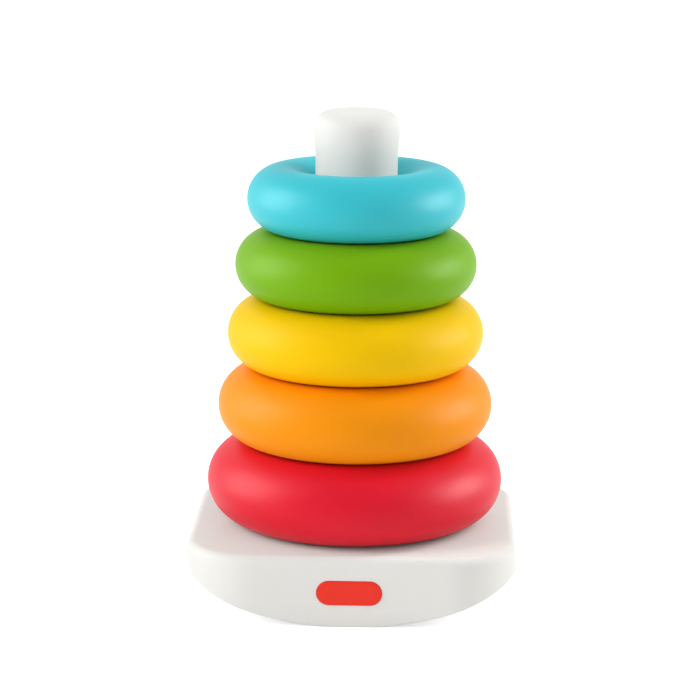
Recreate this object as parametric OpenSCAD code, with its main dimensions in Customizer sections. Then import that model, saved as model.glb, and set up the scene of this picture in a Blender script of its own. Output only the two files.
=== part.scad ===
// Stacking ring toy: five hollow rings on a tapered post that stands on a rocking base.
// Millimetres, +Z up, front towards -Y, origin on the floor under the middle of the base.

/* [Base] */
// Width of the base, seen from the front
base_w = 135.7; // [124:0.1:160]
// Depth of the base, from front to back
base_d = 127; // [116:0.1:150]
// Corner radius of the base, seen from above
base_corner_r = 28; // [18:1:34]
// Height of the base's top face above the floor
base_h = 29; // [25:0.1:36]
// Rounding of the base's top edge
base_edge_r = 3.4; // [1:0.1:6]
// Thickness of the cover's walls and top
base_wall = 2.4; // [1.6:0.1:3.2]
// Radius of the curve that the base rocks on
rocker_r = 139; // [122:1:200]
// Width of the flat strip that the toy stands on
rest_w = 20; // [10:1:40]
// Thickness of the curved bottom plate
bottom_t = 2.4; // [1.6:0.1:3.2]
// Gap between the bottom plate and the walls around it
bottom_gap = 0.3; // [0.2:0.1:0.6]

/* [Rings] */
// Outer diameter of the red ring
red_d = 124.2; // [116:0.1:128]
// Thickness of the red ring's tube
red_tube = 33.4; // [28:0.1:36]
// Outer diameter of the orange ring
orange_d = 114.9; // [108:0.1:122]
// Thickness of the orange ring's tube
orange_tube = 31.2; // [27:0.1:34]
// Outer diameter of the yellow ring
yellow_d = 106.9; // [101:0.1:113]
// Thickness of the yellow ring's tube
yellow_tube = 29.3; // [26:0.1:32]
// Outer diameter of the green ring
green_d = 100.5; // [94:0.1:105]
// Thickness of the green ring's tube
green_tube = 28.1; // [25:0.1:31]
// Outer diameter of the blue ring
blue_d = 90.5; // [86:0.1:98]
// Thickness of the blue ring's tube
blue_tube = 27; // [24:0.1:30]
// Wall thickness of the hollow rings
ring_wall = 1.8; // [1.2:0.1:3]
// Least gap between a ring's hole and the post inside it
ring_play = 0.3; // [0.2:0.1:1]
// Gap between one ring and the next, and under the lowest ring
stack_gap = 0.3; // [0.2:0.1:1]

/* [Post] */
// Radius of the post where it leaves the base
post_foot_r = 26.5; // [22:0.1:27.5]
// Radius of the post's neck, where the taper ends
post_neck_r = 16.9; // [13:0.1:17.4]
// How far below the top of the stack the taper ends
neck_drop = 4.5; // [1:0.1:10]
// How far the post stands above the top ring
post_show = 23.7; // [18:0.1:32]
// Largest radius of the post's swollen end
knob_r = 17.8; // [17.5:0.1:18.2]
// How far the widest part of the end lies below its top
knob_drop = 9.2; // [7.5:0.1:10]
// Radius of the curve down the side of the end
knob_side_r = 60; // [40:1:90]
// Radius of the rounded shoulder of the end
knob_shoulder_r = 6.8; // [4:0.1:8]
// Radius of the shallow dome on top
knob_dome_r = 80; // [60:1:140]
// Wall thickness of the post
post_wall = 2.4; // [1.6:0.1:3.2]
// Thickness of the closed end of the post
post_cap_t = 5; // [4:0.1:7]

/* [Screws] */
// Shank diameter of the screws
screw_d = 3; // [2.5:0.1:3.5]
// Length of the screws under the head
screw_l = 10; // [8:0.1:11]
// Diameter of the screw heads
head_d = 5.6; // [5:0.1:6.2]
// Height of the screw heads
head_h = 2.2; // [1.8:0.1:2.6]
// Width of the cross recess in the heads
recess_w = 0.9; // [0.6:0.1:1.2]
// Depth of the cross recess in the heads
recess_depth = 1.2; // [0.8:0.1:1.4]
// Gap around a screw in the hole that it bites
bite_gap = 0.05; // [0.02:0.01:0.1]
// Gap around a screw in the hole that it passes through
pass_gap = 0.25; // [0.2:0.05:0.5]
// Gap past the tip of a screw
tip_gap = 0.5; // [0.3:0.1:1]
// Wall around a screw in its boss
boss_wall = 2.4; // [1.6:0.1:3]
// Distance from the base's sides to the screws in its bottom
base_screw_inset = 24; // [20:0.5:30]
// Wall of the wells that the bottom screws stand in
well_wall = 2; // [1.4:0.1:2.6]
// Thickness of the seat under the bottom screws' heads
seat_t = 2; // [1.6:0.1:3]
// Gap around a screw head in its well
head_gap = 0.6; // [0.4:0.1:1]

/* [Badge] */
// Width of the badge on the front wall
badge_w = 26.5; // [20:0.5:34]
// Height of the badge
badge_h = 10; // [7:0.1:12]
// Height of the badge's middle above the floor
badge_z = 14.4; // [11:0.1:16]
// Thickness of the badge
badge_t = 0.9; // [0.6:0.1:1.4]
// Depth of the pocket that the badge lies in
pocket_depth = 0.5; // [0.3:0.1:0.6]
// Gap around the badge in its pocket
pocket_gap = 0.15; // [0.1:0.05:0.3]

/* [Hidden] */
$fn = 96;
overrun = 1; // how far a cut runs past the face that it opens
arc_steps = 8; // straight steps in each arc of the post's end
shell_white = [0.92, 0.92, 0.90];
screw_grey = [0.70, 0.71, 0.73];

// The rings from the bottom of the stack to the top: outer radius, tube radius, colour
RINGS = [
    [red_d / 2, red_tube / 2, [0.82, 0.09, 0.13]],
    [orange_d / 2, orange_tube / 2, [0.95, 0.42, 0.03]],
    [yellow_d / 2, yellow_tube / 2, [0.95, 0.72, 0.04]],
    [green_d / 2, green_tube / 2, [0.45, 0.62, 0.06]],
    [blue_d / 2, blue_tube / 2, [0.05, 0.62, 0.68]],
];

// A ring's tube radius, the radius of the circle along its middle, and its height
function tube_r(i) = RINGS[i][1];
function middle_r(i) = RINGS[i][0] - tube_r(i);
function ring_z(i) = i == 0 ? base_h + stack_gap + tube_r(0) : ring_z(i - 1) + rise(i);
// How far a ring's middle stands above the middle of the ring that it lies on
function rise(i) = sqrt(pow(tube_r(i - 1) + tube_r(i) + stack_gap, 2)
                        - pow(middle_r(i - 1) - middle_r(i), 2));

top_ring = len(RINGS) - 1;
stack_top = ring_z(top_ring) + tube_r(top_ring);
neck_z = stack_top - neck_drop;
post_top = stack_top + post_show;

// The post's radius at a height on its taper, and the radius of a ring's hole that clears it
function taper_r(z) = post_foot_r + (post_neck_r - post_foot_r) * (z - base_h) / (neck_z - base_h);
function hole_r(i) = max(taper_r(ring_z(i) - tube_r(i)), knob_r) + ring_play;

// The base's inside, and the axis of the curve that it rocks on
ceiling_z = base_h - base_wall;
rocker_axis_z = sqrt(pow(rocker_r, 2) - pow(rest_w / 2, 2));

// The bosses that the screws bite, under the cover's top and inside the post's foot
boss_bore_r = screw_d / 2 + bite_gap;
boss_r = boss_bore_r + boss_wall;
pass_r = screw_d / 2 + pass_gap;
cover_bite = screw_l - seat_t + tip_gap;
post_bite = screw_l - base_wall + tip_gap;
seat_z = ceiling_z - cover_bite;
well_bore_r = head_d / 2 + head_gap;
post_screw_r = taper_r(base_h + post_bite + boss_wall) - post_wall / 2 - boss_r;

// A rounded plate seen from above
module rounded_plate(w, d, r) {
    square([w - 2 * r, d], center = true);
    square([w, d - 2 * r], center = true);
    for (x = [-1, 1], y = [-1, 1])
        translate([x * (w / 2 - r), y * (d / 2 - r)])
            circle(r);
}

// Half of a section through a flat block with a rounded top edge, from its middle out
module edge_section(reach, h, r) {
    square([reach, h - r]);
    square([reach - r, h]);
    translate([reach - r, h - r])
        circle(r);
}

// A block with rounded corners and a rounded top edge
module soft_block(w, d, corner_r, h, edge_r) {
    half_w = w / 2 - corner_r;
    half_d = d / 2 - corner_r;
    translate([-half_w, -half_d, 0])
        cube([2 * half_w, 2 * half_d, h]);
    for (a = [0, 180])
        rotate(a) {
            soft_side(half_w, half_d, corner_r, h, edge_r);
            rotate(90)
                soft_side(half_d, half_w, corner_r, h, edge_r);
        }
}

// One side of such a block, and the corner at its end
module soft_side(out, along, corner_r, h, edge_r) {
    translate([out, along, 0]) {
        rotate_extrude(angle = 90)
            edge_section(corner_r, h, edge_r);
        rotate([90, 0, 0])
            linear_extrude(2 * along)
                edge_section(corner_r, h, edge_r);
    }
}

// The round of the rocking curve, to a depth inside it
module rocker_round(depth = 0) {
    translate([0, 0, rocker_axis_z])
        rotate([90, 0, 0])
            cylinder(r = rocker_r - depth, h = base_d + 2 * overrun, center = true);
}

// Places for the four screws in the bottom, and for the four under the post
module at_base_screws() {
    for (x = [-1, 1], y = [-1, 1])
        translate([x * (base_w / 2 - base_screw_inset), y * (base_d / 2 - base_screw_inset), 0])
            children();
}

module at_post_screws() {
    for (a = [45 : 90 : 315])
        rotate(a)
            translate([post_screw_r, 0, 0])
                children();
}

// A boss that a screw bites from below, standing at a height, with its blind end closed
module boss(z, bite, closed) {
    difference() {
        translate([0, 0, z])
            cylinder(r = boss_r, h = bite + closed);
        translate([0, 0, z - overrun])
            cylinder(r = boss_bore_r, h = bite + overrun);
    }
}

// The badge's outline on the front wall, grown by a gap
module badge_outline(gap = 0) {
    end_r = badge_h / 2 + gap;
    straight = badge_w - badge_h;
    square([straight, 2 * end_r], center = true);
    for (side = [-1, 1])
        translate([side * straight / 2, 0])
            circle(end_r);
}

// Stands an outline on the front wall, from a depth inside it to a height outside it
module on_front(inside, outside) {
    translate([0, inside - base_d / 2, badge_z])
        rotate([90, 0, 0])
            linear_extrude(inside + outside)
                children();
}

module base_cover() {
    color(shell_white) {
        difference() {
            intersection() {
                soft_block(base_w, base_d, base_corner_r, base_h, base_edge_r);
                rocker_round();
            }
            translate([0, 0, -overrun])
                soft_block(base_w - 2 * base_wall, base_d - 2 * base_wall, base_corner_r - base_wall,
                           ceiling_z + overrun, max(base_edge_r - base_wall, base_wall / 4));
            at_post_screws()
                cylinder(r = pass_r, h = base_h + overrun);
            on_front(pocket_depth, overrun)
                badge_outline(pocket_gap);
        }
        at_base_screws()
            boss(seat_z, cover_bite, base_wall / 2);
    }
}

module rocker_bottom() {
    inset = base_wall + bottom_gap;
    color(shell_white)
        difference() {
            intersection() {
                union() {
                    difference() {
                        linear_extrude(ceiling_z)
                            rounded_plate(base_w - 2 * inset, base_d - 2 * inset, base_corner_r - inset);
                        rocker_round(bottom_t);
                    }
                    at_base_screws()
                        cylinder(r = well_bore_r + well_wall, h = seat_z);
                }
                rocker_round();
            }
            at_base_screws() {
                translate([0, 0, -overrun])
                    cylinder(r = well_bore_r, h = seat_z - seat_t + overrun);
                translate([0, 0, -overrun])
                    cylinder(r = pass_r, h = seat_z + 2 * overrun);
            }
        }
}

// Points along an arc from one angle to another
function arc(centre, r, from, to) =
    [for (i = [0 : arc_steps]) centre + r * [cos(from + (to - from) * i / arc_steps),
                                             sin(from + (to - from) * i / arc_steps)]];

// Where two circles cross, on the outer side of the line between them
function crossing(c1, r1, c2, r2) =
    let (d = c2 - c1, gap = norm(d), along = (r1 * r1 - r2 * r2 + gap * gap) / (2 * gap))
    c1 + along * d / gap + sqrt(r1 * r1 - along * along) * [-d.y, d.x] / gap;

// The post's end, from the neck up: the curve of its side, its shoulder, and the dome
function knob_points() =
    let (side_c = [knob_r - knob_side_r, post_top - knob_drop],
         dome_c = [0, post_top - knob_dome_r],
         shoulder_c = crossing(side_c, knob_side_r - knob_shoulder_r,
                               dome_c, knob_dome_r - knob_shoulder_r),
         low_a = -acos((post_neck_r - side_c.x) / knob_side_r),
         shoulder_a = atan2(shoulder_c.y - side_c.y, shoulder_c.x - side_c.x),
         dome_a = atan2(shoulder_c.y - dome_c.y, shoulder_c.x - dome_c.x))
    concat(arc(side_c, knob_side_r, low_a, shoulder_a),
           [for (i = [1 : arc_steps]) arc(shoulder_c, knob_shoulder_r, shoulder_a, dome_a)[i]],
           [for (i = [1 : arc_steps]) arc(dome_c, knob_dome_r, dome_a, 90)[i]]);

module post() {
    cap_z = post_top - post_cap_t;
    outside = concat([[post_foot_r, base_h], [post_neck_r, neck_z]], knob_points());
    inside = [[0, cap_z], [post_neck_r - post_wall, cap_z], [post_neck_r - post_wall, neck_z],
              [post_foot_r - post_wall, base_h]];
    color(shell_white) {
        rotate_extrude()
            polygon(concat(outside, inside));
        at_post_screws()
            boss(base_h, post_bite, boss_wall);
    }
}

// A cross-recessed screw, pointing up, with the underside of its head at a height
module screw(z) {
    color(screw_grey)
        translate([0, 0, z])
            difference() {
                union() {
                    cylinder(d = screw_d, h = screw_l);
                    translate([0, 0, -head_h])
                        cylinder(d = head_d, h = head_h);
                }
                for (a = [0, 90])
                    rotate(a)
                        translate([-head_d / 4, -recess_w / 2, -head_h - overrun])
                            cube([head_d / 2, recess_w, recess_depth + overrun]);
            }
}

module post_screws() {
    at_post_screws()
        screw(ceiling_z);
}

module base_screws() {
    at_base_screws()
        screw(seat_z - seat_t);
}

module front_badge() {
    color(RINGS[0][2])
        on_front(pocket_depth, badge_t - pocket_depth)
            badge_outline();
}

// A section through a ring's tube, or through the hollow in it
// The hole's side is straight where it nears the post
module tube_section(i, depth = 0) {
    difference() {
        translate([middle_r(i), 0])
            circle(tube_r(i) - depth);
        translate([0, -tube_r(i)])
            square([hole_r(i) + depth, 2 * tube_r(i)]);
    }
}

module ring(i) {
    color(RINGS[i][2])
        translate([0, 0, ring_z(i)])
            difference() {
                rotate_extrude()
                    tube_section(i);
                rotate_extrude()
                    tube_section(i, ring_wall);
            }
}

module ring_red() { ring(0); }
module ring_orange() { ring(1); }
module ring_yellow() { ring(2); }
module ring_green() { ring(3); }
module ring_blue() { ring(4); }

base_cover();
rocker_bottom();
post();
post_screws();
base_screws();
front_badge();
ring_red();
ring_orange();
ring_yellow();
ring_green();
ring_blue();
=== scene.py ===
import math

import bmesh
import bpy
from mathutils import Matrix, Vector


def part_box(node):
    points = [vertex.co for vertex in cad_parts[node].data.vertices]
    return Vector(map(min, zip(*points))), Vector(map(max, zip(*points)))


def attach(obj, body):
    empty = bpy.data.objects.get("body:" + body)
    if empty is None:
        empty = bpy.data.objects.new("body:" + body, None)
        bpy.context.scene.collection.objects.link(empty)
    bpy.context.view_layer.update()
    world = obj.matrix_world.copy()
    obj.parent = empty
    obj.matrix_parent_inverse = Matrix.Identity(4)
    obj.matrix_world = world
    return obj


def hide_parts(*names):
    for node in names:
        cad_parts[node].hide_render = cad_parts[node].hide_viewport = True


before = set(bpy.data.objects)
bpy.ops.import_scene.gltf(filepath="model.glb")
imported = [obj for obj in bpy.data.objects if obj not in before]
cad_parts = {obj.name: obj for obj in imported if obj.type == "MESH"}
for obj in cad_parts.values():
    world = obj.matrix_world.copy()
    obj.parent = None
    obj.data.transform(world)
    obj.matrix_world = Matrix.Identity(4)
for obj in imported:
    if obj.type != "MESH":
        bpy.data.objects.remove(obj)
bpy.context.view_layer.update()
mm = 0.001
print("frame loaded with", len(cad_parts), "pieces")


def linearColour(red, green, blue):  # from the 0 to 255 values of a screen colour
    def straighten(level):
        level /= 255
        return level / 12.92 if level <= 0.04045 else ((level + 0.055) / 1.055) ** 2.4
    return straighten(red), straighten(green), straighten(blue), 1.0


# the camera of the photograph
photoCamera = {
    "frameWidth": 700,           # pixels across the picture
    "focalPixels": 2563.5,       # focal length in those pixels
    "sensor": 36,                # sensor width in mm, Blender's own
    "distance": 1050 * mm,
    "side": -2.25 * mm,
    "height": 331.4 * mm,
    "tilt": 12.39,               # degrees down
    "roll": 0.37,                # degrees, the picture leans clockwise
    "turn": 1.8,                 # degrees round the toy, from its front towards +X
}


def placeCamera(sizes):
    data = bpy.data.cameras.new("photoCamera")
    data.sensor_width = sizes["sensor"]
    data.lens = sizes["focalPixels"] * sizes["sensor"] / sizes["frameWidth"]
    tilt, roll, turn = (math.radians(sizes[name]) for name in ("tilt", "roll", "turn"))
    ahead = Vector((0, math.cos(tilt), -math.sin(tilt)))
    above = Vector((0, math.sin(tilt), math.cos(tilt)))
    right = Vector((1, 0, 0))
    pose = Matrix((
        right * math.cos(roll) + above * math.sin(roll),
        above * math.cos(roll) - right * math.sin(roll),
        -ahead,
    )).transposed().to_4x4()
    pose.translation = Vector((sizes["side"], -sizes["distance"], sizes["height"]))
    camera = bpy.data.objects.new("photoCamera", data)
    bpy.context.scene.collection.objects.link(camera)
    camera.matrix_world = Matrix.Rotation(turn, 4, "Z") @ pose
    bpy.context.scene.camera = camera


placeCamera(photoCamera)
print("camera placed")


# node trees are written as node, its inputs by name or number, and its settings
def addNode(tree, kind, inputs=None, **settings):
    node = tree.nodes.new(kind)
    for name, value in settings.items():
        setattr(node, name, value)
    for name, value in (inputs or {}).items():
        if isinstance(value, bpy.types.NodeSocket):
            tree.links.new(value, node.inputs[name])
        else:
            node.inputs[name].default_value = value
    return node


def addSockets(tree, inOut, names):
    for name, kind in names.items():
        tree.interface.new_socket(name=name, in_out=inOut, socket_type="NodeSocket" + kind)


def addMath(tree, operation, first, second=0.0):
    return addNode(tree, "ShaderNodeMath", {0: first, 1: second}, operation=operation).outputs[0]


def addSwing(tree, noise, amount):  # a noise about zero, times an amount
    return addMath(tree, "MULTIPLY", addMath(tree, "SUBTRACT", noise.outputs["Fac"], 0.5), amount)


# moulded plastic: a fine grain from the mould, slow clouds in the colour, and patches handled smoother
mouldMarks = {
    "grainDetail": 2.0,
    "grainRoughness": 0.6,
    "cloudDetail": 2.0,
    "cloudRoughness": 0.45,
    "handledScale": 2.7,         # against the clouds
    "handledDetail": 3.0,
    "scuffTurn": (0.4, 0.9, 0.3),
    "scuffStretch": (900, 60, 700),
    "scuffDetail": 1.0,
    "scuffStart": 0.68,          # of the noise, where a scuff begins
    "scuffFull": 0.76,
}


def mouldedFinishGroup():
    tree = bpy.data.node_groups.new("mouldedFinish", "ShaderNodeTree")
    addSockets(tree, "INPUT", {
        "Grain Scale": "Float", "Cloud Scale": "Float", "Cloud Amount": "Float",
        "Roughness": "Float", "Handled Amount": "Float", "Scuff Amount": "Float",
    })
    addSockets(tree, "OUTPUT", {"Tint": "Float", "Roughness": "Float", "Height": "Float"})
    given = addNode(tree, "NodeGroupInput").outputs
    place = addNode(tree, "ShaderNodeTexCoord").outputs["Object"]
    grain = addNode(tree, "ShaderNodeTexNoise", {
        "Vector": place, "Scale": given["Grain Scale"],
        "Detail": mouldMarks["grainDetail"], "Roughness": mouldMarks["grainRoughness"]})
    clouds = addNode(tree, "ShaderNodeTexNoise", {
        "Vector": place, "Scale": given["Cloud Scale"],
        "Detail": mouldMarks["cloudDetail"], "Roughness": mouldMarks["cloudRoughness"]})
    handledScale = addMath(tree, "MULTIPLY", given["Cloud Scale"], mouldMarks["handledScale"])
    handled = addNode(tree, "ShaderNodeTexNoise", {
        "Vector": place, "Scale": handledScale, "Detail": mouldMarks["handledDetail"]})
    stretched = addNode(tree, "ShaderNodeMapping", {
        "Vector": place, "Rotation": mouldMarks["scuffTurn"], "Scale": mouldMarks["scuffStretch"]})
    scuffs = addNode(tree, "ShaderNodeTexNoise", {
        "Vector": stretched.outputs[0], "Scale": 1.0, "Detail": mouldMarks["scuffDetail"]})
    scuffMask = addNode(tree, "ShaderNodeMapRange", {
        "Value": scuffs.outputs["Fac"],
        "From Min": mouldMarks["scuffStart"], "From Max": mouldMarks["scuffFull"]})
    tint = addMath(tree, "ADD", 1.0, addSwing(tree, clouds, given["Cloud Amount"]))
    smoother = addSwing(tree, handled, given["Handled Amount"])
    scuffed = addMath(tree, "MULTIPLY", scuffMask.outputs[0], given["Scuff Amount"])
    rough = addMath(tree, "ADD", addMath(tree, "ADD", given["Roughness"], smoother), scuffed)
    addNode(tree, "NodeGroupOutput", {"Tint": tint, "Roughness": rough, "Height": grain.outputs["Fac"]})
    return tree


mouldedFinish = mouldedFinishGroup()


def mouldedPlastic(name, colour, look):
    material = bpy.data.materials.new(name)
    material.use_nodes = True
    tree = material.node_tree
    tree.nodes.clear()
    finish = addNode(tree, "ShaderNodeGroup", node_tree=mouldedFinish)
    for socket in finish.inputs:
        socket.default_value = look[socket.name]
    tinted = addNode(tree, "ShaderNodeMix", data_type="RGBA", blend_type="MULTIPLY")
    tinted.inputs["Factor"].default_value = 1.0
    tinted.inputs["A"].default_value = colour
    tree.links.new(finish.outputs["Tint"], tinted.inputs["B"])
    # its light on other pieces is paler than the plastic
    path = addNode(tree, "ShaderNodeLightPath").outputs
    bleeding = addMath(tree, "MULTIPLY", path["Is Diffuse Ray"], look["Bleed Cut"])
    seen = addNode(tree, "ShaderNodeMix", {
        "Factor": bleeding, "A": tinted.outputs["Result"]}, data_type="RGBA")
    seen.inputs["B"].default_value = look["Bleed Colour"]
    bump = addNode(tree, "ShaderNodeBump", {
        "Height": finish.outputs["Height"],
        "Strength": look["Grain Strength"], "Distance": look["Grain Depth"]})
    plastic = addNode(tree, "ShaderNodeBsdfPrincipled", {
        "Base Color": seen.outputs["Result"], "Roughness": finish.outputs["Roughness"],
        "Normal": bump.outputs[0], "IOR": look["IOR"], "Specular IOR Level": look["Specular"]})
    addNode(tree, "ShaderNodeOutputMaterial", {"Surface": plastic.outputs[0]})
    return material


satinLook = {
    "Grain Scale": 2600.0, "Grain Strength": 0.25, "Grain Depth": 0.06 * mm,
    "Cloud Scale": 26.0, "Cloud Amount": 0.05,
    "Roughness": 0.45, "Handled Amount": 0.10, "Scuff Amount": 0.05,
    "IOR": 1.49, "Specular": 0.13, "Bleed Cut": 0.0, "Bleed Colour": (0.7, 0.7, 0.7, 1),
}
whiteLook = dict(satinLook, **{"Cloud Amount": 0.03, "Specular": 0.06})
redLook = dict(satinLook, **{"Specular": 0.22, "Bleed Cut": 0.65})
yellowLook = dict(satinLook, **{"Specular": 0.09})
blueLook = dict(satinLook, **{"Specular": 0.24, "Bleed Cut": 0.65, "Bleed Colour": (0.42, 0.42, 0.42, 1)})
glossyLook = dict(satinLook, **{"Grain Strength": 0.05, "Roughness": 0.22, "Specular": 0.25})

plastics = {
    "white_shell": mouldedPlastic("whiteShell", linearColour(238, 238, 234), whiteLook),
    "red_plastic": mouldedPlastic("redRing", linearColour(226, 13, 42), redLook),
    "orange_plastic": mouldedPlastic("orangeRing", linearColour(251, 151, 4), satinLook),
    "yellow_plastic": mouldedPlastic("yellowRing", linearColour(252, 202, 1), yellowLook),
    "green_plastic": mouldedPlastic("greenRing", linearColour(119, 177, 3), satinLook),
    "blue_plastic": mouldedPlastic("blueRing", linearColour(57, 197, 210), blueLook),
    "badge_red": mouldedPlastic("badgeRed", linearColour(245, 44, 22), glossyLook),
}


# zinc plate: bluish grey with fine turning marks and dull spots
zincLook = {
    "spotScale": 900.0,
    "spotDetail": 3.0,
    "markScale": 6000.0,
    "markDetail": 1.0,
    "dark": (0.46, 0.48, 0.50, 1),
    "light": (0.66, 0.67, 0.68, 1),
    "roughness": (0.24, 0.46),   # from the smooth parts to the dull spots
    "markStrength": 0.3,
    "markDepth": 0.02 * mm,
}


def zincPlate(name):
    material = bpy.data.materials.new(name)
    material.use_nodes = True
    tree = material.node_tree
    tree.nodes.clear()
    place = addNode(tree, "ShaderNodeTexCoord").outputs["Object"]
    spots = addNode(tree, "ShaderNodeTexNoise", {
        "Vector": place, "Scale": zincLook["spotScale"], "Detail": zincLook["spotDetail"]})
    marks = addNode(tree, "ShaderNodeTexNoise", {
        "Vector": place, "Scale": zincLook["markScale"], "Detail": zincLook["markDetail"]})
    shade = addNode(tree, "ShaderNodeMix", {"Factor": spots.outputs["Fac"]}, data_type="RGBA")
    shade.inputs["A"].default_value = zincLook["dark"]
    shade.inputs["B"].default_value = zincLook["light"]
    smoothest, dullest = zincLook["roughness"]
    dull = addNode(tree, "ShaderNodeMapRange", {
        "Value": spots.outputs["Fac"], "To Min": smoothest, "To Max": dullest})
    bump = addNode(tree, "ShaderNodeBump", {
        "Height": marks.outputs["Fac"],
        "Strength": zincLook["markStrength"], "Distance": zincLook["markDepth"]})
    metal = addNode(tree, "ShaderNodeBsdfPrincipled", {
        "Base Color": shade.outputs["Result"], "Roughness": dull.outputs[0],
        "Metallic": 1.0, "Normal": bump.outputs[0]})
    addNode(tree, "ShaderNodeOutputMaterial", {"Surface": metal.outputs[0]})
    return material


zinc = zincPlate("zincPlate")
print("materials made")


# shared mesh work
def newObject(name, mesh):
    piece = bpy.data.objects.new(name, mesh)
    bpy.context.scene.collection.objects.link(piece)
    return piece


def runTree(name, tree, values):  # a geometry tree's result as a plain mesh
    holder = newObject(name + "Tree", bpy.data.meshes.new(name + "Tree"))
    modifier = holder.modifiers.new("tree", "NODES")
    modifier.node_group = tree
    for item in tree.interface.items_tree:
        if item.in_out == "INPUT" and item.name in values:
            modifier[item.identifier] = values[item.name]
    graph = bpy.context.evaluated_depsgraph_get()
    mesh = bpy.data.meshes.new_from_object(holder.evaluated_get(graph), depsgraph=graph)
    bpy.data.objects.remove(holder)
    return newObject(name, mesh)


crispAngle = math.radians(38)    # edges that turn further than this stay crisp


def markCrisp(mesh):
    for edge in mesh.edges:
        if len(edge.link_faces) == 2 and edge.calc_face_angle(0) > crispAngle:
            edge.smooth = False


def loftLoops(name, loops, startPole=None, endPole=None):  # loops of as many points each, joined in turn
    mesh = bmesh.new()
    rows = [[mesh.verts.new(point) for point in loop] for loop in loops]
    count = len(rows[0])
    for low, high in zip(rows, rows[1:]):
        for i in range(count):
            j = (i + 1) % count
            mesh.faces.new((low[i], low[j], high[j], high[i]))
    for pole, row in ((startPole, rows[0]), (endPole, rows[-1])):
        if pole is not None:
            tip = mesh.verts.new(pole)
            for i in range(count):
                mesh.faces.new((row[i], row[(i + 1) % count], tip))
    bmesh.ops.recalc_face_normals(mesh, faces=mesh.faces)
    for face in mesh.faces:
        face.smooth = True
    markCrisp(mesh)
    data = bpy.data.meshes.new(name)
    mesh.to_mesh(data)
    mesh.free()
    return newObject(name, data)


def carve(piece, cutter):  # takes the cutter's shape out of a piece
    cut = piece.modifiers.new("cut", "BOOLEAN")
    cut.object, cut.operation, cut.solver = cutter, "DIFFERENCE", "EXACT"
    graph = bpy.context.evaluated_depsgraph_get()
    data = bpy.data.meshes.new_from_object(piece.evaluated_get(graph), depsgraph=graph)
    mesh = bmesh.new()
    mesh.from_mesh(data)
    markCrisp(mesh)
    mesh.to_mesh(data)
    mesh.free()
    piece.modifiers.clear()
    piece.data = data
    bpy.data.objects.remove(cutter)


def dress(piece, body, slotName, material, *nodes):
    if material.name not in piece.data.materials:
        piece.data.materials.clear()
        piece.data.materials.append(material)
    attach(piece, body)
    if nodes:
        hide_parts(*nodes)


def circlePoints(radius, z, count):
    angles = [math.tau * i / count for i in range(count)]
    return [Vector((radius * math.cos(angle), radius * math.sin(angle), z)) for angle in angles]


# the rings: one tree, five sets of sizes
ringLook = {"Round Steps": 192, "Tube Steps": 96}


def ringMouldingTree():
    tree = bpy.data.node_groups.new("ringMoulding", "GeometryNodeTree")
    addSockets(tree, "INPUT", {
        "Outer Radius": "Float", "Tube Radius": "Float", "Hole Radius": "Float", "Height": "Float",
        "Round Steps": "Int", "Tube Steps": "Int", "Plastic": "Material",
    })
    addSockets(tree, "OUTPUT", {"Geometry": "Geometry"})
    given = addNode(tree, "NodeGroupInput").outputs
    middle = addMath(tree, "SUBTRACT", given["Outer Radius"], given["Tube Radius"])
    path = addNode(tree, "GeometryNodeCurvePrimitiveCircle", {
        "Resolution": given["Round Steps"], "Radius": middle})
    section = addNode(tree, "GeometryNodeCurvePrimitiveCircle", {
        "Resolution": given["Tube Steps"], "Radius": given["Tube Radius"]})
    tube = addNode(tree, "GeometryNodeCurveToMesh", {
        "Curve": path.outputs["Curve"], "Profile Curve": section.outputs["Curve"]})
    place = addNode(tree, "GeometryNodeInputPosition")
    part = addNode(tree, "ShaderNodeSeparateXYZ", {"Vector": place.outputs[0]}).outputs
    level = addNode(tree, "ShaderNodeCombineXYZ", {"X": part["X"], "Y": part["Y"]})
    distance = addNode(tree, "ShaderNodeVectorMath", {0: level.outputs[0]}, operation="LENGTH")
    reach = distance.outputs["Value"]
    pressed = addMath(tree, "MAXIMUM", reach, given["Hole Radius"])  # straight side of the hole
    outward = addNode(tree, "ShaderNodeVectorMath", {
        0: level.outputs[0], "Scale": addMath(tree, "DIVIDE", pressed, reach)}, operation="SCALE")
    lifted = addNode(tree, "ShaderNodeCombineXYZ", {"Z": addMath(tree, "ADD", part["Z"], given["Height"])})
    moved = addNode(tree, "ShaderNodeVectorMath", {
        0: outward.outputs[0], 1: lifted.outputs[0]}, operation="ADD")
    shaped = addNode(tree, "GeometryNodeSetPosition", {
        "Geometry": tube.outputs["Mesh"], "Position": moved.outputs[0]})
    smooth = addNode(tree, "GeometryNodeSetShadeSmooth", {"Geometry": shaped.outputs["Geometry"]})
    real = addNode(tree, "GeometryNodeRealizeInstances", {"Geometry": smooth.outputs["Geometry"]})
    coloured = addNode(tree, "GeometryNodeSetMaterial", {
        "Geometry": real.outputs["Geometry"], "Material": given["Plastic"]})
    addNode(tree, "NodeGroupOutput", {"Geometry": coloured.outputs["Geometry"]})
    return tree


def makeRings():
    tree = ringMouldingTree()
    for colour in ("red", "orange", "yellow", "green", "blue"):
        node = "ring_" + colour
        low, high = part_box(node)
        plastic = plastics[colour + "_plastic"]
        ring = runTree(colour + "Ring", tree, dict(ringLook, **{
            "Outer Radius": max(high.x, high.y, -low.x, -low.y),
            "Tube Radius": (high.z - low.z) / 2,
            "Hole Radius": min(math.hypot(v.co.x, v.co.y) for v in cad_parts[node].data.vertices),
            "Height": (low.z + high.z) / 2,
            "Plastic": plastic,
        }))
        dress(ring, colour, colour + "_plastic", plastic, node)


makeRings()
print("rings moulded")


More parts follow.
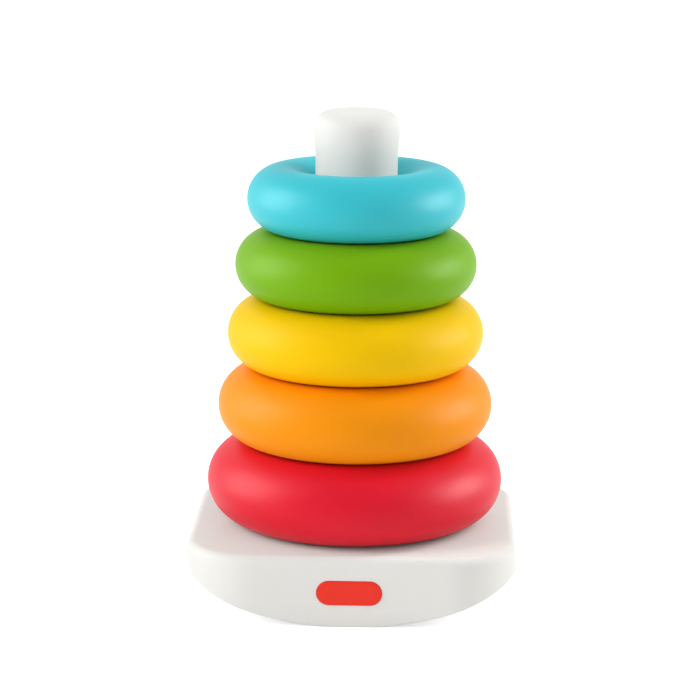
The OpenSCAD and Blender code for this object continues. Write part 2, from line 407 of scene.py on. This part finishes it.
# the base's cover: a rounded box whose walls end on the rocking curve
cover = {
    "cornerRadius": 28 * mm,
    "edgeRadius": 3.4 * mm,      # rounding round the top
    "lipRadius": 0.8 * mm,       # rounding round the foot of the walls
    "wall": 2.4 * mm,
    "rockerRadius": 139 * mm,
    "restWidth": 20 * mm,        # flat strip under the middle
    "supportGap": 0.4 * mm,      # keeps the flat top flat beside its rounded edge
    "cornerSteps": 20,
    "sideSteps": 36,
    "edgeSteps": 10,
    "wallSteps": 6,
    "topSteps": 5,
}


def rockerHeight(x):  # of the curve that the base rocks on
    axis = math.sqrt(cover["rockerRadius"] ** 2 - (cover["restWidth"] / 2) ** 2)
    return max(0.0, axis - math.sqrt(cover["rockerRadius"] ** 2 - x * x))


def coverOutline(half, inset):  # points of the rounded rectangle, moved in by an inset
    radius = cover["cornerRadius"]
    points = []
    for corner in range(4):
        # width and depth change places at each quarter turn
        here, ahead = (half.yx, half) if corner % 2 else (half, half.yx)
        start = corner * math.pi / 2
        centre = Matrix.Rotation(start, 2) @ (here - Vector((radius, radius)))
        for i in range(cover["cornerSteps"] + 1):
            angle = start + math.pi / 2 * i / cover["cornerSteps"]
            points.append(centre + (radius - inset) * Vector((math.cos(angle), math.sin(angle))))
        straight = ahead.y - radius
        side = Matrix.Rotation(start + math.pi / 2, 2)
        for i in range(1, cover["sideSteps"]):
            along = straight - 2 * straight * i / cover["sideSteps"]
            points.append(side @ Vector((ahead.x - inset, -along)))
    return points


def makeCover():
    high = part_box("base_cover")[1]
    half, top = high.xy, high.z
    wall, edge, lip = cover["wall"], cover["edgeRadius"], cover["lipRadius"]

    def loopAt(inset, height):  # height is a number, or a function of the point
        return [Vector((p.x, p.y, height(p) if callable(height) else height))
                for p in coverOutline(half, inset)]

    def flatLoop(inset, share, height):  # on a flat face, at a share of the way out from its middle
        return [Vector((*(p * share), height)) for p in coverOutline(half, inset)]

    shares = [i / cover["topSteps"] for i in range(1, cover["topSteps"] + 1)]
    loops = [flatLoop(edge + cover["supportGap"], share, top) for share in shares]
    for i in range(cover["edgeSteps"] + 1):
        angle = math.pi / 2 * i / cover["edgeSteps"]
        loops.append(loopAt(edge - edge * math.sin(angle), top - edge + edge * math.cos(angle)))
    for i in range(1, cover["wallSteps"]):
        share = i / cover["wallSteps"]
        loops.append(loopAt(0, lambda p: (top - edge) * (1 - share) + (rockerHeight(p.x) + lip) * share))
    for i in range(cover["edgeSteps"] + 1):
        angle = math.pi / 2 * i / cover["edgeSteps"]
        drop = lip - lip * math.sin(angle)
        loops.append(loopAt(lip - lip * math.cos(angle), lambda p: rockerHeight(p.x) + drop))
    loops.append(loopAt(wall, lambda p: rockerHeight(p.x)))
    loops += [flatLoop(wall, share, top - wall) for share in reversed(shares)]
    piece = loftLoops("baseCover", loops,
                      startPole=Vector((0, 0, top)), endPole=Vector((0, 0, top - wall)))
    cutPocket(piece)
    dress(piece, "base", "white_shell", plastics["white_shell"], "base_cover")


# the badge and the pocket that it lies in
badge = {
    "pocketGap": 0.15 * mm,
    "pocketDepth": 0.5 * mm,
    "pocketOverrun": 5 * mm,
    "edgeRadius": 0.25 * mm,
    "crown": 0.1 * mm,           # how far the face swells in the middle
    "endSteps": 24,
    "edgeSteps": 5,
    "faceSteps": 6,
}


def badgeOutline(width, height, inset):  # a bar with round ends, in x and z
    radius = height / 2 - inset
    straight = (width - height) / 2
    points = []
    for middle, start in ((straight, -math.pi / 2), (-straight, math.pi / 2)):
        for i in range(badge["endSteps"] + 1):
            angle = start + math.pi * i / badge["endSteps"]
            points.append(Vector((middle + radius * math.cos(angle), radius * math.sin(angle))))
    return points


def badgeLoop(inset, y, squeeze=1.0):
    low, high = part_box("front_badge")
    middle = (low.z + high.z) / 2
    return [Vector((p.x * squeeze, y, middle + p.y * squeeze))
            for p in badgeOutline(high.x - low.x, high.z - low.z, inset)]


def cutPocket(piece):
    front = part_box("base_cover")[0].y
    low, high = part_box("front_badge")
    middle = (low.z + high.z) / 2
    ends = front + badge["pocketDepth"], front - badge["pocketOverrun"]
    loops = [badgeLoop(-badge["pocketGap"], y) for y in ends]
    carve(piece, loftLoops("pocketCutter", loops, *(Vector((0, y, middle)) for y in ends)))


def makeBadge():
    low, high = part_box("front_badge")
    edge = badge["edgeRadius"]
    loops = [badgeLoop(0, high.y), badgeLoop(0, low.y + edge)]
    for i in range(1, badge["edgeSteps"] + 1):
        angle = math.pi / 2 * i / badge["edgeSteps"]
        loops.append(badgeLoop(edge - edge * math.cos(angle), low.y + edge - edge * math.sin(angle)))
    for i in range(1, badge["faceSteps"]):
        squeeze = 1 - i / badge["faceSteps"]
        loops.append(badgeLoop(edge, low.y - badge["crown"] * (1 - squeeze ** 2), squeeze))
    middle = (low.z + high.z) / 2
    piece = loftLoops("frontBadge", loops, startPole=Vector((0, high.y, middle)),
                      endPole=Vector((0, low.y - badge["crown"], middle)))
    dress(piece, "base", "badge_red", plastics["badge_red"], "front_badge")


makeCover()
makeBadge()
print("base cover and badge made")


# the post: turned from its outline
post = {
    "footRadius": 26.5 * mm,     # where it leaves the base
    "neckRadius": 16.9 * mm,
    "neckBelowTop": 28.2 * mm,   # where the taper ends
    "knobRadius": 17.8 * mm,
    "knobBelowTop": 9.2 * mm,    # where the end is widest
    "sideRadius": 60 * mm,
    "shoulderRadius": 6.8 * mm,
    "domeRadius": 80 * mm,
    "wall": 2.4 * mm,
    "capThickness": 5 * mm,      # of its closed end
    "roundSteps": 160,
    "arcSteps": 14,
    "taperSteps": 24,
}


def arcPoints(centre, radius, start, end, steps):
    angles = [start + (end - start) * i / steps for i in range(steps + 1)]
    return [centre + radius * Vector((math.cos(angle), math.sin(angle))) for angle in angles]


def crossing(first, firstRadius, second, secondRadius):  # of two circles, on the outer side
    away = second - first
    gap = away.length
    along = (firstRadius ** 2 - secondRadius ** 2 + gap ** 2) / (2 * gap)
    out = math.sqrt(firstRadius ** 2 - along ** 2)
    return first + away * along / gap + Vector((-away.y, away.x)) * out / gap


def postOutline():
    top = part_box("post")[1].z
    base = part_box("base_cover")[1].z
    side = Vector((post["knobRadius"] - post["sideRadius"], top - post["knobBelowTop"]))
    dome = Vector((0, top - post["domeRadius"]))
    shoulder = crossing(side, post["sideRadius"] - post["shoulderRadius"],
                        dome, post["domeRadius"] - post["shoulderRadius"])
    lowAngle = -math.acos((post["neckRadius"] - side.x) / post["sideRadius"])
    shoulderAngle = math.atan2(shoulder.y - side.y, shoulder.x - side.x)
    domeAngle = math.atan2(shoulder.y - dome.y, shoulder.x - dome.x)
    steps = post["arcSteps"]
    neck = Vector((post["neckRadius"], top - post["neckBelowTop"]))
    foot = Vector((post["footRadius"], base))
    inside = Vector((post["neckRadius"] - post["wall"], top - post["capThickness"]))
    points = [inside, Vector((inside.x, neck.y)), foot - Vector((post["wall"], 0))]
    points += [foot.lerp(neck, i / post["taperSteps"]) for i in range(post["taperSteps"] + 1)]
    points += arcPoints(side, post["sideRadius"], lowAngle, shoulderAngle, steps)[1:]
    points += arcPoints(shoulder, post["shoulderRadius"], shoulderAngle, domeAngle, steps)[1:]
    points += arcPoints(dome, post["domeRadius"], domeAngle, math.pi / 2, steps)[1:-1]
    return points, top


def makePost():
    points, top = postOutline()
    loops = [circlePoints(p.x, p.y, post["roundSteps"]) for p in points]
    piece = loftLoops("taperedPost", loops,
                      startPole=Vector((0, 0, points[0].y)), endPole=Vector((0, 0, top)))
    dress(piece, "base", "white_shell", plastics["white_shell"], "post")


makePost()
print("post turned")

# the screws: one is turned and cut, and a tree sets it at four corners
screw = {
    "headRadius": 2.8 * mm,
    "headHeight": 2.2 * mm,
    "headRounding": 0.8 * mm,
    "length": 10 * mm,           # under the head
    "shankRadius": 1.5 * mm,
    "coreRadius": 1.15 * mm,     # between the threads
    "pitch": 1.3 * mm,
    "threadWidth": 0.3,          # half a thread's width, against the pitch
    "tipLength": 2.2 * mm,
    "tipRadius": 0.25 * mm,
    "recessReach": 1.45 * mm,    # of the cross, from the middle
    "recessWidth": 0.9 * mm,
    "recessDepth": 1.2 * mm,
    "recessTaper": 0.72,         # the cross at its bottom, against its top
    "roundSteps": 28,
    "edgeSteps": 6,
    "threadSteps": 80,
    "seed": 4,                   # for how far each one was driven round
}


def crossLoop(reach, width, z):
    points = []
    for quarter in range(4):
        turn = Matrix.Rotation(quarter * math.pi / 2, 2)
        for x, y in ((reach, -width / 2), (reach, width / 2), (width / 2, width / 2)):
            points.append(Vector((*(turn @ Vector((x, y))), z)))
    return points


def threadLoop(z):  # a round of the shank, with the thread standing out where it passes
    points = []
    toTip = max(0.0, (z - screw["length"] + screw["tipLength"]) / screw["tipLength"])
    for i in range(screw["roundSteps"]):
        angle = math.tau * i / screw["roundSteps"]
        phase = (z / screw["pitch"] - angle / math.tau) % 1.0
        crest = max(0.0, 1 - abs(phase - 0.5) / screw["threadWidth"])
        radius = screw["coreRadius"] + (screw["shankRadius"] - screw["coreRadius"]) * crest
        radius += (screw["tipRadius"] - radius) * toTip
        points.append(Vector((radius * math.cos(angle), radius * math.sin(angle), z)))
    return points


def turnScrew():  # pointing up, the underside of its head at the origin
    radius, height, rounding = screw["headRadius"], screw["headHeight"], screw["headRounding"]
    loops = []
    for i in range(screw["edgeSteps"] + 1):
        angle = math.pi / 2 * i / screw["edgeSteps"]
        loops.append(circlePoints(radius - rounding * (1 - math.sin(angle)),
                                  rounding * (1 - math.cos(angle)) - height, screw["roundSteps"]))
    loops.append(circlePoints(radius, 0, screw["roundSteps"]))
    loops += [threadLoop(screw["length"] * i / screw["threadSteps"])
              for i in range(screw["threadSteps"] + 1)]
    piece = loftLoops("screw", loops,
                      startPole=Vector((0, 0, -height)), endPole=Vector((0, 0, screw["length"])))
    ends = -height - screw["recessDepth"] / 2, screw["recessDepth"] - height
    taper = screw["recessTaper"]
    loops = [crossLoop(screw["recessReach"] * scale, screw["recessWidth"] * scale, z)
             for scale, z in zip((1 + (1 - taper) / 2, taper), ends)]
    carve(piece, loftLoops("recessCutter", loops, *(Vector((0, 0, z)) for z in ends)))
    return piece


def screwCornersTree():
    tree = bpy.data.node_groups.new("screwCorners", "GeometryNodeTree")
    addSockets(tree, "INPUT", {
        "Screw": "Object", "Width": "Float", "Depth": "Float", "Height": "Float",
        "Seed": "Int", "Metal": "Material",
    })
    addSockets(tree, "OUTPUT", {"Geometry": "Geometry"})
    given = addNode(tree, "NodeGroupInput").outputs
    corners = addNode(tree, "GeometryNodeMeshGrid", {
        "Size X": given["Width"], "Size Y": given["Depth"], "Vertices X": 2, "Vertices Y": 2})
    lift = addNode(tree, "ShaderNodeCombineXYZ", {"Z": given["Height"]})
    placed = addNode(tree, "GeometryNodeTransform", {
        "Geometry": corners.outputs["Mesh"], "Translation": lift.outputs[0]})
    driven = addNode(tree, "FunctionNodeRandomValue", {"Seed": given["Seed"]}, data_type="FLOAT")
    driven.inputs[3].default_value = math.pi / 2  # its largest number: a quarter turn
    spin = addNode(tree, "ShaderNodeCombineXYZ", {"Z": driven.outputs[1]})
    source = addNode(tree, "GeometryNodeObjectInfo", {"Object": given["Screw"]})
    screws = addNode(tree, "GeometryNodeInstanceOnPoints", {
        "Points": placed.outputs[0], "Instance": source.outputs["Geometry"], "Rotation": spin.outputs[0]})
    real = addNode(tree, "GeometryNodeRealizeInstances", {"Geometry": screws.outputs[0]})
    plated = addNode(tree, "GeometryNodeSetMaterial", {
        "Geometry": real.outputs["Geometry"], "Material": given["Metal"]})
    addNode(tree, "NodeGroupOutput", {"Geometry": plated.outputs["Geometry"]})
    return tree


def makeScrews():
    tree = screwCornersTree()
    source = turnScrew()
    for name, node in (("baseScrews", "base_screws"), ("postScrews", "post_screws")):
        low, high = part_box(node)
        screws = runTree(name, tree, {
            "Screw": source, "Width": high.x - low.x - 2 * screw["headRadius"],
            "Depth": high.y - low.y - 2 * screw["headRadius"], "Height": low.z + screw["headHeight"],
            "Seed": screw["seed"], "Metal": zinc,
        })
        dress(screws, "base", "screw_steel", zinc, node)
    bpy.data.objects.remove(source)


makeScrews()

# the bottom plate keeps its CAD shape
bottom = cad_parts["rocker_bottom"]
bottom.data.materials.clear()
bottom.data.materials.append(plastics["white_shell"])
print("screws set and bottom plate finished")


# floor, backdrop and studio light: a white room with a soft box and a gloss card on either side
studio = {
    "floorSize": 16.0,
    "floorColour": (0.95, 0.95, 0.95, 1),
    "floorGlow": 0.55,           # seen by the camera, not by the toy
    "skyLight": 0.1,             # strength of the surround on the toy
    "dome": 1.38,                # soft light from all round, without gloss
    "aim": (0, 0, 0.1),          # where the lamps point
    "away": 1.3,                 # how far they stand from there
    "leftBox": {"azimuth": -68, "elevation": 30, "size": (0.6, 0.85), "watts": 8.9, "gloss": False},
    "rightBox": {"azimuth": 104, "elevation": 32, "size": (0.45, 0.8), "watts": 8.8, "gloss": False},
    "leftCard": {"azimuth": -90, "elevation": 16, "size": (1.0, 1.1), "watts": 23, "gloss": True},
    "rightCard": {"azimuth": 95, "elevation": 14, "size": (0.9, 0.7), "watts": 21, "gloss": True},
}


def seenDirectly(tree):  # by the eye, in gloss or through glass, and not as light on the toy
    path = addNode(tree, "ShaderNodeLightPath").outputs
    mirrored = addMath(tree, "MAXIMUM", path["Is Glossy Ray"], path["Is Transmission Ray"])
    return addMath(tree, "MAXIMUM", path["Is Camera Ray"], mirrored)


def makeFloor():
    half = studio["floorSize"] / 2
    mesh = bpy.data.meshes.new("floor")
    corners = [(-half, -half, 0), (half, -half, 0), (half, half, 0), (-half, half, 0)]
    mesh.from_pydata(corners, [], [(0, 1, 2, 3)])
    floor = newObject("floor", mesh)
    material = bpy.data.materials.new("paleFloor")
    material.use_nodes = True
    tree = material.node_tree
    tree.nodes.clear()
    paint = addNode(tree, "ShaderNodeBsdfDiffuse", {"Color": studio["floorColour"]})
    glowing = addMath(tree, "MULTIPLY", seenDirectly(tree), studio["floorGlow"])
    glow = addNode(tree, "ShaderNodeEmission", {"Strength": glowing})
    both = addNode(tree, "ShaderNodeAddShader", {0: paint.outputs[0], 1: glow.outputs[0]})
    addNode(tree, "ShaderNodeOutputMaterial", {"Surface": both.outputs[0]})
    mesh.materials.append(material)


def makeSky():
    world = bpy.data.worlds.new("studio")
    bpy.context.scene.world = world
    world.use_nodes = True
    tree = world.node_tree
    tree.nodes.clear()
    lit = addNode(tree, "ShaderNodeMapRange", {
        "Value": seenDirectly(tree), "To Min": studio["skyLight"], "To Max": 1.0})
    sky = addNode(tree, "ShaderNodeBackground", {"Color": (1, 1, 1, 1), "Strength": lit.outputs[0]})
    addNode(tree, "ShaderNodeOutputWorld", {"Surface": sky.outputs[0]})


def makeLamp(name):
    sizes = studio[name]
    azimuth, elevation = math.radians(sizes["azimuth"]), math.radians(sizes["elevation"])
    data = bpy.data.lights.new(name, "AREA")
    data.shape = "RECTANGLE"
    data.size, data.size_y = sizes["size"]
    data.energy = sizes["watts"]
    lamp = bpy.data.objects.new(name, data)
    bpy.context.scene.collection.objects.link(lamp)
    level = math.cos(elevation)
    outward = Vector((level * math.sin(azimuth), -level * math.cos(azimuth), math.sin(elevation)))
    lamp.location = Vector(studio["aim"]) + outward * studio["away"]
    lamp.rotation_mode = "QUATERNION"
    lamp.rotation_quaternion = (-outward).to_track_quat("-Z", "Y")
    lamp.visible_diffuse, lamp.visible_glossy = not sizes["gloss"], sizes["gloss"]


def makeDome():
    data = bpy.data.lights.new("dome", "SUN")
    data.angle = math.pi
    data.energy = studio["dome"]
    lamp = bpy.data.objects.new("dome", data)
    bpy.context.scene.collection.objects.link(lamp)
    lamp.visible_glossy = False


makeFloor()
makeSky()
makeDome()
for name in ("leftBox", "rightBox", "leftCard", "rightCard"):
    makeLamp(name)
bpy.context.scene.view_settings.view_transform = "Standard"
print("studio lit")
